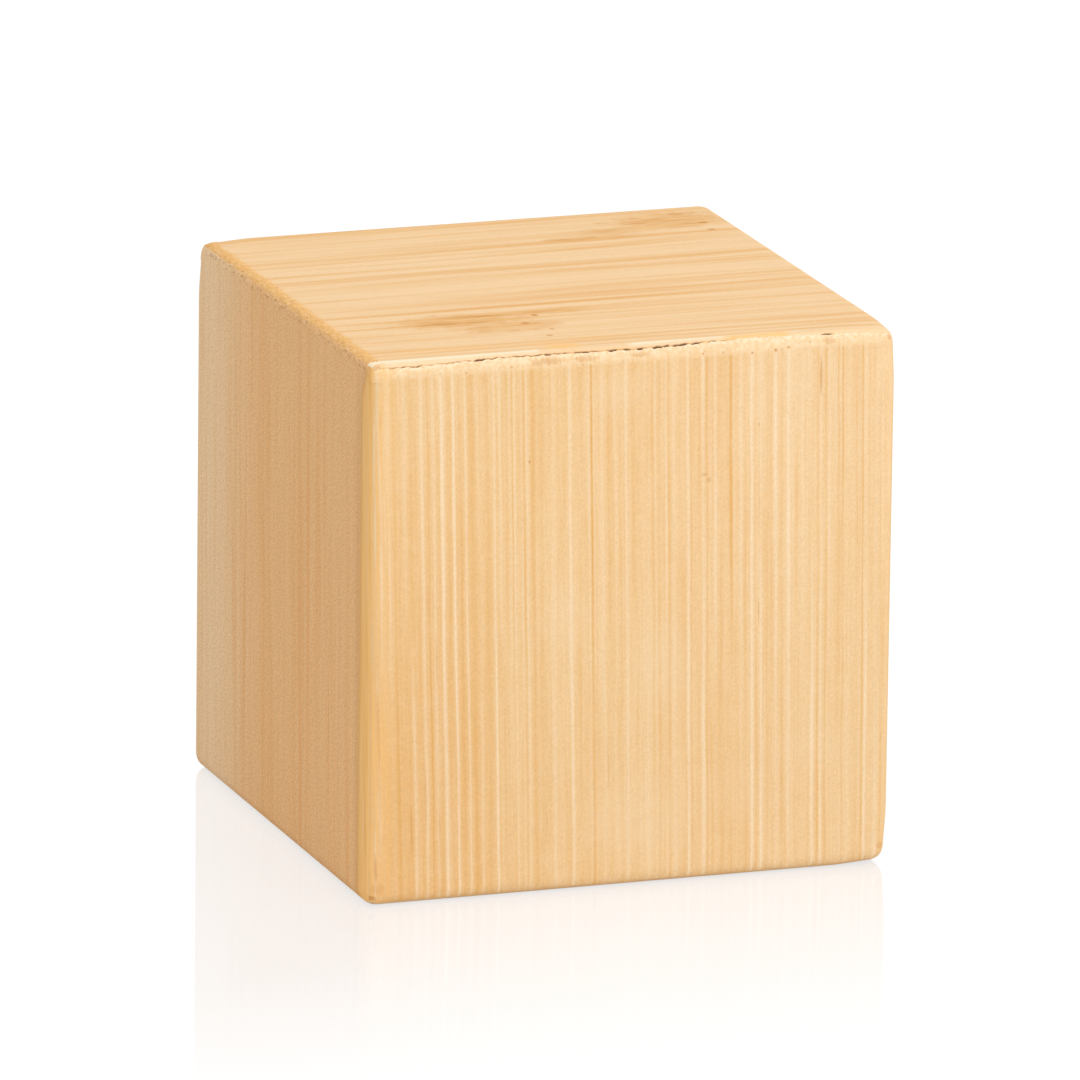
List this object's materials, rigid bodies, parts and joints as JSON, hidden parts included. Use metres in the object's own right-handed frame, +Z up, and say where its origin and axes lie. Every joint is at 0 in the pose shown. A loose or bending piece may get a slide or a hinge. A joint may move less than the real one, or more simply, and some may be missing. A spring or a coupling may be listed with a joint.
{
  "type": "wooden cube",
  "caption": "Closed hollow cube of bamboo boards with mitred joints and rounded edges, a free-standing desk block, paperweight or small plinth.",
  "frame": {"origin": "middle of the underside, on the surface that the cube stands on", "axes": "+Z up, the front board faces -Y and the left board faces -X, both square to the axes"},
  "size_m": [0.06, 0.06, 0.06],
  "materials": {
    "bamboo": "satin"
  },
  "bodies": {
    "root": {"top_board": "bamboo", "bottom_board": "bamboo", "front_board": "bamboo", "back_board": "bamboo", "left_board": "bamboo", "right_board": "bamboo"}
  },
  "joints": []
}
